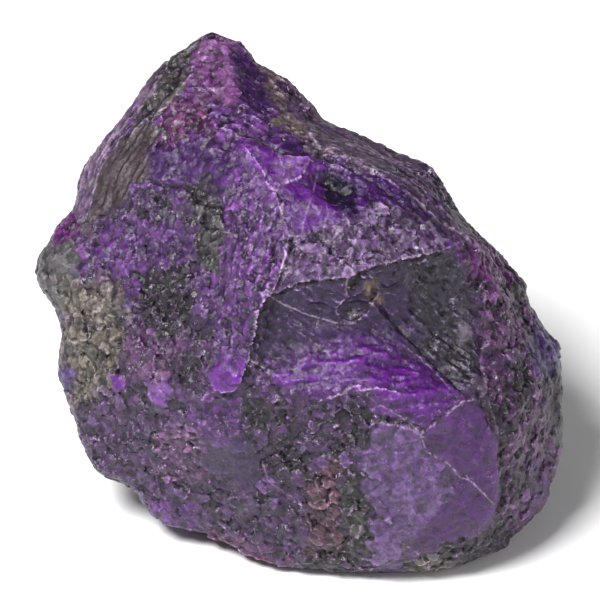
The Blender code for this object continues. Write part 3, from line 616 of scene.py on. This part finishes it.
def grainTree():
    # finds which grain owns each point of the skin, and how far its border is
    tree = bpy.data.node_groups.new("grain cells", "GeometryNodeTree")
    sockets = {}
    for name, kind in (("Geometry", "Geometry"), ("Grain size", "Float"), ("Crumb size", "Float"),
                       ("Material", "Material")):
        sockets[name] = tree.interface.new_socket(name, in_out="INPUT", socket_type="NodeSocket" + kind)
    tree.interface.new_socket("Geometry", in_out="OUTPUT", socket_type="NodeSocketGeometry")
    entry = tree.nodes.new("NodeGroupInput").outputs
    place = tree.nodes.new("GeometryNodeInputPosition").outputs[0]

    def store(flow, name, kind, value):
        return addNode(tree, "GeometryNodeStoreNamedAttribute", {"data_type": kind, "domain": "POINT"},
                       {"Geometry": flow, "Name": name, "Value": value}).outputs[0]

    flow = store(entry["Geometry"], "rest", "FLOAT_VECTOR", place)
    for name, size in (("grain", entry["Grain size"]), ("crumb", entry["Crumb size"])):
        scale = addNode(tree, "ShaderNodeMath", {"operation": "DIVIDE"}, {0: 1.0, 1: size}).outputs[0]
        cells, seam = addCells(tree, place, scale)
        flow = store(flow, name + "Seam", "FLOAT", seam)
        if name == "grain":
            flow = store(flow, "grainSeed", "FLOAT_VECTOR", cells["Position"])
    flow = addNode(tree, "GeometryNodeRealizeInstances", {}, {0: flow}).outputs[0]
    flow = addNode(tree, "GeometryNodeSetMaterial", {}, {0: flow, "Material": entry["Material"]}).outputs[0]
    addNode(tree, "NodeGroupOutput", {}, {0: flow})
    return tree, sockets


def findGrains(mesh, material):
    item = placed("workpiece", mesh)
    modifier = item.modifiers.new("grain cells", "NODES")
    tree, sockets = grainTree()
    modifier.node_group = tree
    modifier[sockets["Grain size"].identifier] = stone["grainSize"]
    modifier[sockets["Crumb size"].identifier] = stone["crumbSize"]
    modifier[sockets["Material"].identifier] = material
    return afterModifiers(item)


def readColumn(mesh, name, width):
    attribute = mesh.attributes[name]
    flat = np.empty(len(mesh.vertices) * width, dtype=np.float32)
    attribute.data.foreach_get("vector" if width == 3 else "value", flat)
    return flat.reshape(-1, width).astype(float)


def storeColumn(mesh, name, values):
    # numbers, vectors or colours, by how many values each point has
    kinds = {1: ("FLOAT", "value"), 3: ("FLOAT_VECTOR", "vector"), 4: ("FLOAT_COLOR", "color")}
    kind, key = kinds[values.size // len(values)]
    attribute = mesh.attributes.new(name, kind, "POINT")
    attribute.data.foreach_set(key, np.ascontiguousarray(values, dtype=np.float32).ravel())


def grainGroups(seeds):
    # one number for each grain: its seed, rounded to 5 micrometres, as one large number
    keys = np.round(seeds * 200).astype(np.int64)
    keys = (keys[:, 0] * 1000003 + keys[:, 1]) * 1000033 + keys[:, 2]
    return np.unique(keys, return_inverse=True)[1]


def fineSkin(node):
    # the CAD stone in millimetres, as a fine even mesh
    shape = bmesh.new()
    shape.from_mesh(node.data)
    bmesh.ops.remove_doubles(shape, verts=shape.verts, dist=1e-7)
    bmesh.ops.scale(shape, vec=(1 / millimetre,) * 3, verts=shape.verts)
    mesh = bpy.data.meshes.new("coarse stone")
    shape.to_mesh(mesh)
    shape.free()
    item = placed("workpiece", mesh)
    modifier = item.modifiers.new("even cells", "REMESH")
    modifier.mode = "VOXEL"
    modifier.voxel_size = stone["cell"]
    return afterModifiers(item)


def shoulders(seam):
    # nought at a grain's border and one on its face
    return np.sqrt(np.clip(seam * stone["shoulder"], 0.0, 1.0))


def roughShare(grain):
    # how rough a point is, by how granular its rock is
    return stone["smoothShare"] + (1.0 - stone["smoothShare"]) * grain


def reliefHeight(places, painted, group, seam, crumbSeam, shadowAndCrackMarks):
    # how far grains, ridges, streaks and dark lines move the skin in or out
    grain, streaks = painted[:, grainAt], painted[:, streaksAt]
    rough = roughShare(grain)
    height = shoulders(seam) * stone["grainHeight"] * grain
    height += shoulders(crumbSeam) * stone["crumbHeight"] * rough
    steps = np.random.default_rng(draws["grainStep"]).random(group.max() + 1)[group]
    height += (steps - stone["sunk"]) * stone["grainStep"] * grain
    # sharp winding crests between soft hollows
    ridges = swell(places, stone["ridgeLength"], draws["ridge"])
    ridges = 1.0 - stone["ridgeSteepness"] * np.abs(ridges)
    height += (ridges - stone["sunk"]) * stone["ridgeHeight"] * rough
    for index, way in enumerate(streakWays):
        along = wayInSpace(way)
        squeezed = places - along * ((places @ along) * stone["streakSqueeze"])[:, None]
        streak = swell(squeezed, stone["streakLength"], draws["streak"] + index)
        height += streak * stone["streakHeight"] * streaks[:, index]
    cut = np.clip(1.0 - np.abs(shadowAndCrackMarks[:, 0]) / shadowAndCrackMarks[:, 2], 0.0, 1.0)
    return height - cut * (shadowAndCrackMarks[:, 1] > 0) * stone["darkDepth"]


def shapeSkin(mesh, material):
    places = readPoints(mesh)
    edges = readEdges(mesh)
    broad = smoothed(readPoints(mesh, "normal"), edges, stone["sideRounds"])
    broad /= np.linalg.norm(broad, axis=1)[:, None]
    facing = fade(broad @ viewToward, *stone["seen"])
    resting = places[:, 2] < places[:, 2].min() + stone["restingHeight"]
    free = (~resting).astype(float)
    places = np.where(resting[:, None], places, smoothed(places, edges, stone["softening"]))
    writePlaces(mesh, places)
    mesh = findGrains(mesh, material)
    group = grainGroups(readColumn(mesh, "grainSeed", 3))
    seam, crumbSeam = readColumn(mesh, "grainSeam", 1)[:, 0], readColumn(mesh, "crumbSeam", 1)[:, 0]
    column, row = inPicture(places)
    # a granular zone takes whole grains, a smooth one keeps its own outline
    painted = paintMinerals(places, column, row, facing)
    spots = groupMeans(np.column_stack([places, column, row, facing]), group)
    byGrain = paintMinerals(spots[:, :3], *spots[:, 3:].T)[group]
    granular = fade(np.minimum(painted, byGrain)[:, grainAt], *stone["wholeGrains"])
    painted += (byGrain - painted) * granular[:, None]
    # pale lines: healed cracks, and painted highlights along lit rims
    crackAndRimHighlightMarks, lift = lineMarks(column, row, facing, crackAndRimHighlightLines)
    # dark lines: painted shadows under steps and rims, and dark cracks
    shadowAndCrackMarks, _ = lineMarks(column, row, facing, shadowAndCrackLines)
    grain = painted[:, grainAt]
    normals = readPoints(mesh, "normal")
    places = places + normals * (lift * free)[:, None]
    for size, amount, seed in stone["chips"]:
        cells = gridCells(places, size, seed)
        places = pressGroups(places, normals, cells, amount * roughShare(grain) * free)
    places = pressGroups(places, normals, group, stone["grainPress"] * grain * free)
    height = reliefHeight(places, painted, group, seam, crumbSeam, shadowAndCrackMarks)
    writePlaces(mesh, places + normals * (height * free)[:, None])
    storePaint(mesh, painted, crackAndRimHighlightMarks, shadowAndCrackMarks)
    return mesh, facing


def standingOut(mesh, rounds, unit):
    # how far a point stands out of its surroundings
    places = readPoints(mesh)
    offset = places - smoothed(places, readEdges(mesh), rounds)
    return np.einsum("ij,ij->i", offset, readPoints(mesh, "normal")) / unit


def storePaint(mesh, painted, crackAndRimHighlightMarks, shadowAndCrackMarks):
    solid = np.ones((len(painted), 1))
    storeColumn(mesh, "mainColour", np.hstack([painted[:, mainAt], solid]))
    storeColumn(mesh, "secondColour", np.hstack([painted[:, secondAt], solid]))
    storeColumn(mesh, "streaks", painted[:, streaksAt])
    storeColumn(mesh, "crackAndRimHighlightMarks", crackAndRimHighlightMarks)
    storeColumn(mesh, "shadowAndCrackMarks", shadowAndCrackMarks)
    texture = [painted[:, shareAt], painted[:, grainAt], standingOut(mesh, *stone["fineRelief"])]
    storeColumn(mesh, "texture", np.stack(texture, axis=1))
    storeColumn(mesh, "hollow", standingOut(mesh, *stone["broadRelief"]))
    for name in ("grainSeed", "grainSeam", "crumbSeam"):
        mesh.attributes.remove(mesh.attributes[name])


def sugiliteMaterial():
    # Massive sugilite: a vitreous, sugary rock. Each tiny grain breaks in its own direction and
    # glints, some pale grains add painted glints, thin edges look pale, partly by painted highlight,
    # painted shade darkens hollows, and dark grains fill the seams
    material = bpy.data.materials.new("massive sugilite")
    material.use_nodes = True
    tree = material.node_tree
    tree.nodes.clear()

    def readAttribute(name):
        return addNode(tree, "ShaderNodeAttribute", {"attribute_name": name}).outputs

    def maths(operation, *values):
        return addNode(tree, "ShaderNodeMath", {"operation": operation}, dict(enumerate(values))).outputs[0]

    def times(a, b):
        return maths("MULTIPLY", a, b)

    def weighed(*pairs):
        # a sum of values, each times its share
        total = 0.0
        for value, share in pairs:
            total = maths("MULTIPLY_ADD", value, share, total)
        return total

    def vector(operation, a, b=None, scale=None):
        inputs = {0: a}
        if b is not None:
            inputs[1] = b
        if scale is not None:
            inputs["Scale"] = scale
        node = addNode(tree, "ShaderNodeVectorMath", {"operation": operation}, inputs)
        return node.outputs["Value" if operation == "DOT_PRODUCT" else "Vector"]

    def mixColour(amount, a, b):
        return addNode(tree, "ShaderNodeMix", {"data_type": "RGBA"}, {0: amount, 6: a, 7: b}).outputs[2]

    def mixValue(amount, a, b):
        return addNode(tree, "ShaderNodeMix", {}, {0: amount, 2: a, 3: b}).outputs[0]

    def ramp(value, low, high, toLow=0.0, toHigh=1.0):
        return addNode(tree, "ShaderNodeMapRange", {"clamp": True},
                       {0: value, 1: low, 2: high, 3: toLow, 4: toHigh}).outputs[0]

    def cloud(place, name):
        size, detail, roughness, distortion = stone[name]
        return addNode(tree, "ShaderNodeTexNoise", {}, {
            "Vector": place, "Scale": 1.0 / size, "Detail": detail, "Roughness": roughness,
            "Distortion": distortion,
        }).outputs["Fac"]

    def parts(colour):
        return addNode(tree, "ShaderNodeSeparateColor", {}, {0: colour}).outputs

    def axes(name):
        return addNode(tree, "ShaderNodeSeparateXYZ", {}, {0: readAttribute(name)["Vector"]}).outputs

    place = readAttribute("rest")["Vector"]
    mainColour = readAttribute("mainColour")["Color"]
    secondColour = readAttribute("secondColour")["Color"]
    share, grain, edge = axes("texture")
    hollow = readAttribute("hollow")["Fac"]
    grains, grainSeam = addCells(tree, place, 1.0 / stone["grainSize"])
    crumbs, _ = addCells(tree, place, 1.0 / stone["crumbSize"])
    grainDraw, crumbDraw = parts(grains["Color"]), parts(crumbs["Color"])
    mottle, blotch, speck = (cloud(place, name) for name in ("mottle", "blotch", "speck"))

    def streakCloud(way):
        along = tuple(wayInSpace(way))
        far = times(vector("DOT_PRODUCT", place, along), stone["streakStretch"])
        return cloud(vector("SUBTRACT", place, vector("SCALE", along, scale=far)), "streak")

    streakNode = readAttribute("streaks")
    weights = (*parts(streakNode["Color"]), streakNode["Alpha"])
    streak = weighed(*[(streakCloud(way), weight) for way, weight in zip(streakWays, weights)])
    streaky = times(weighed(*[(weight, 1.0) for weight in weights]), stone["streakShare"])
    smoothDraw = ramp(mixValue(streaky, weighed((blotch, 0.4), (mottle, 0.6)), streak), 0.34, 0.66)
    # the second colour shows in whole grains, and in smooth rock in soft clouds and streaks
    grainPick = weighed((crumbDraw[0], 0.25), (grainDraw[0], 0.45), (ramp(blotch, 0.35, 0.65), 0.3))
    pick = mixValue(grain, smoothDraw, grainPick)
    colour = mixColour(ramp(maths("SUBTRACT", share, pick), -0.2, 0.2), mainColour, secondColour)
    # light and dark follow the same pattern; the relief adds painted shade in hollows and
    # grooves and painted light on crests and edges
    grainLight = weighed((grainDraw[1], 0.3), (crumbDraw[1], 0.3), (ramp(blotch, 0.3, 0.7), 0.4))
    gain = ramp(mixValue(grain, smoothDraw, grainLight), 0.15, 0.85, *stone["drawGain"])
    gain = times(gain, ramp(hollow, -1.2, 1.2, *stone["hollowShadeCrestLight"]))
    gain = times(gain, ramp(edge, -2.2, 2.2, *stone["grooveShadeEdgeLight"]))
    colour = vector("SCALE", colour, scale=gain)

    def laidOver(colour, name, cover):
        code, most = stone[name]
        return mixColour(times(cover, most), colour, swatch(code))

    def drawn(name, wander):
        # the lines that are painted on the skin, with borders that wander by some pixels
        gap, strength, width = axes(name)
        shifted = maths("ADD", gap, times(maths("SUBTRACT", blotch, 0.5), wander))
        close = maths("DIVIDE", maths("ABSOLUTE", shifted), width)
        return times(ramp(close, 0.2, 1.0, 1.0, 0.0), strength)

    # dark seams and crevices, and lines of painted shadow and dark cracks
    seam = times(ramp(grainSeam, 0.0, stone["seamWidth"], 1.0, 0.0), times(grain, stone["seamShare"]))
    crevice = times(ramp(mottle, 0.36, 0.47, 1.0, 0.0), ramp(grain, 0.0, 1.0, *stone["creviceShare"]))
    colour = laidOver(colour, "crevice", maths("MAXIMUM", seam, crevice))
    shadowAndCrackLine = times(drawn("shadowAndCrackMarks", stone["darkWander"]), ramp(speck, 0.3, 0.5, 0.4, 1.0))
    colour = laidOver(colour, "shadowAndCrackLine", shadowAndCrackLine)
    # pale edges, worn and with painted highlight, healed cracks and painted highlights along lit
    # rims, hair cracks, and single pale grains that also serve as painted glints
    colour = laidOver(colour, "wornEdgeAndHighlight", times(ramp(edge, 0.7, 2.2), ramp(speck, 0.42, 0.58)))
    # healed cracks, and painted highlights along lit rims and crests
    crackAndRimHighlight = times(drawn("crackAndRimHighlightMarks", stone["paleWander"]), ramp(blotch, 0.44, 0.60))
    colour = laidOver(colour, "crackAndRimHighlight", crackAndRimHighlight)
    hair = maths("ABSOLUTE", maths("SUBTRACT", cloud(place, "thread"), 0.5))
    hair = times(ramp(hair, 0.0, stone["hairWidth"], 1.0, 0.0), ramp(mottle, 0.5, 0.6))
    colour = laidOver(colour, "hairCrack", hair)
    # single pale grains, laid on as painted glints
    paleGrainGlints = times(ramp(crumbDraw[2], 0.90, 0.98), ramp(speck, 0.55, 0.68))
    paleGrainGlints = times(paleGrainGlints, ramp(grain, 0.0, 1.0, *stone["paleGrainGlintShare"]))
    colour = laidOver(colour, "paleGrainAndGlint", paleGrainGlints)
    colour = addNode(tree, "ShaderNodeHueSaturation", {}, {
        "Hue": stone["hue"], "Saturation": stone["saturation"], "Color": colour,
    }).outputs[0]
    roughness = mixValue(grain, ramp(speck, 0.3, 0.7, *stone["smoothPolish"]),
                         ramp(crumbDraw[1], 0.0, 1.0, *stone["grainPolish"]))
    # each grain's face leans its own way, which makes it glint
    normal = {}
    for name, height in (("speckBump", speck), ("blotchBump", blotch)):
        strength, distance = stone[name]
        bump = addNode(tree, "ShaderNodeBump", {}, {
            "Strength": strength, "Distance": distance * millimetre, "Height": height, **normal,
        })
        normal = {"Normal": bump.outputs[0]}
    lean = vector("SCALE", vector("SUBTRACT", crumbs["Color"], (0.5, 0.5, 0.5)),
                  scale=ramp(grain, 0.0, 1.0, *stone["lean"]))
    shader = addNode(tree, "ShaderNodeBsdfPrincipled", {}, {
        "Base Color": colour, "Roughness": roughness, "IOR": stone["refraction"],
        "Specular IOR Level": stone["specular"],
        "Normal": vector("NORMALIZE", vector("ADD", bump.outputs[0], lean)),
    })
    addNode(tree, "ShaderNodeOutputMaterial", {}, {"Surface": shader.outputs[0]})
    return material


def makeStone(material):
    mesh = fineSkin(bpy.data.objects["sugilite"])
    print("fine skin:", len(mesh.vertices), "points")
    mesh, facing = shapeSkin(mesh, material)
    print("skin shaped and painted")
    item = placed("workpiece", mesh)
    back = item.vertex_groups.new(name="back")
    steps = 10
    for step in range(steps + 1):
        chosen = np.flatnonzero(np.round(facing * steps) == step)
        back.add([int(index) for index in chosen], 1.0 - stone["spared"] * step / steps, "REPLACE")
    fewer = item.modifiers.new("fewer triangles", "DECIMATE")
    fewer.ratio = min(1.0, stone["triangles"] / (len(mesh.polygons) * 2))
    fewer.vertex_group = "back"
    fewer.use_collapse_triangulate = True
    finished = afterModifiers(item)
    finished.transform(Matrix.Scale(millimetre, 4))
    finished.shade_smooth()
    finished.set_sharp_from_angle(angle=math.radians(stone["sharpAngle"]))
    finished.name = "sugilite_skin"
    skin = placed("sugilite_skin", finished)
    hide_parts("sugilite")
    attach(skin, "root")
    print("skin:", len(finished.polygons), "faces")


studio = {
    "floor": "#fdfdfd",
    "floorRoughness": 0.9,
    "floorReach": 3.0,              # metres from its middle to its sides
    "world": "#ffffff",
    "worldStrength": 0.14,
    "lampDistance": 0.4,            # metres from the stone
    "lamps": {                      # the way to each, its power and its size
        "key": ((-0.40, -0.40, 0.85), 2.7, 0.15),       # above and to the left
        "fill": ((0.8, -0.6, 0.5), 0.42, 0.3),          # weaker and softer, from the right
    },
}


def makeStudio(places):
    mesh = bpy.data.meshes.new("floor")
    reach = studio["floorReach"]
    mesh.from_pydata([(-reach, -reach, 0), (reach, -reach, 0), (reach, reach, 0), (-reach, reach, 0)], [],
                     [(0, 1, 2, 3)])
    floor = placed("floor", mesh)
    # a seamless white background, which shows only the stone's soft shadow
    white = bpy.data.materials.new("white paper sweep")
    white.use_nodes = True
    shader = white.node_tree.nodes["Principled BSDF"]
    shader.inputs["Base Color"].default_value = swatch(studio["floor"])
    shader.inputs["Roughness"].default_value = studio["floorRoughness"]
    mesh.materials.append(white)
    world = bpy.data.worlds.new("studio")
    world.use_nodes = True
    bpy.context.scene.world = world
    background = world.node_tree.nodes["Background"]
    background.inputs["Color"].default_value = swatch(studio["world"])
    background.inputs["Strength"].default_value = studio["worldStrength"]
    centre = Vector(pictureCentre(places)) * millimetre
    for name, (way, power, size) in studio["lamps"].items():
        lamp = bpy.data.lights.new(name, "AREA")
        lamp.energy = power
        lamp.size = size
        item = placed(name, lamp)
        item.location = centre + Vector(way).normalized() * studio["lampDistance"]
        item.rotation_mode = "QUATERNION"
        item.rotation_quaternion = Vector(way).to_track_quat("Z", "Y")
    camera = bpy.data.cameras.new("camera")
    camera.lens = picture["lens"]
    camera.sensor_width = picture["sensor"]
    camera.clip_end = 10.0
    distance = picture["size"] * picture["pixel"] * millimetre * picture["lens"] / picture["sensor"]
    item = placed("camera", camera)
    turn = Matrix((viewRight, viewUp, viewToward)).transposed().to_4x4()
    turn.translation = centre + Vector(viewToward) * distance
    item.matrix_world = turn
    bpy.context.scene.camera = item
    bpy.context.scene.view_settings.view_transform = "Standard"
    print("studio: floor, lights and camera")


cadPlaces = readPoints(bpy.data.objects["sugilite"].data) * (1 / millimetre)
makeStudio(cadPlaces)
makeStone(sugiliteMaterial())
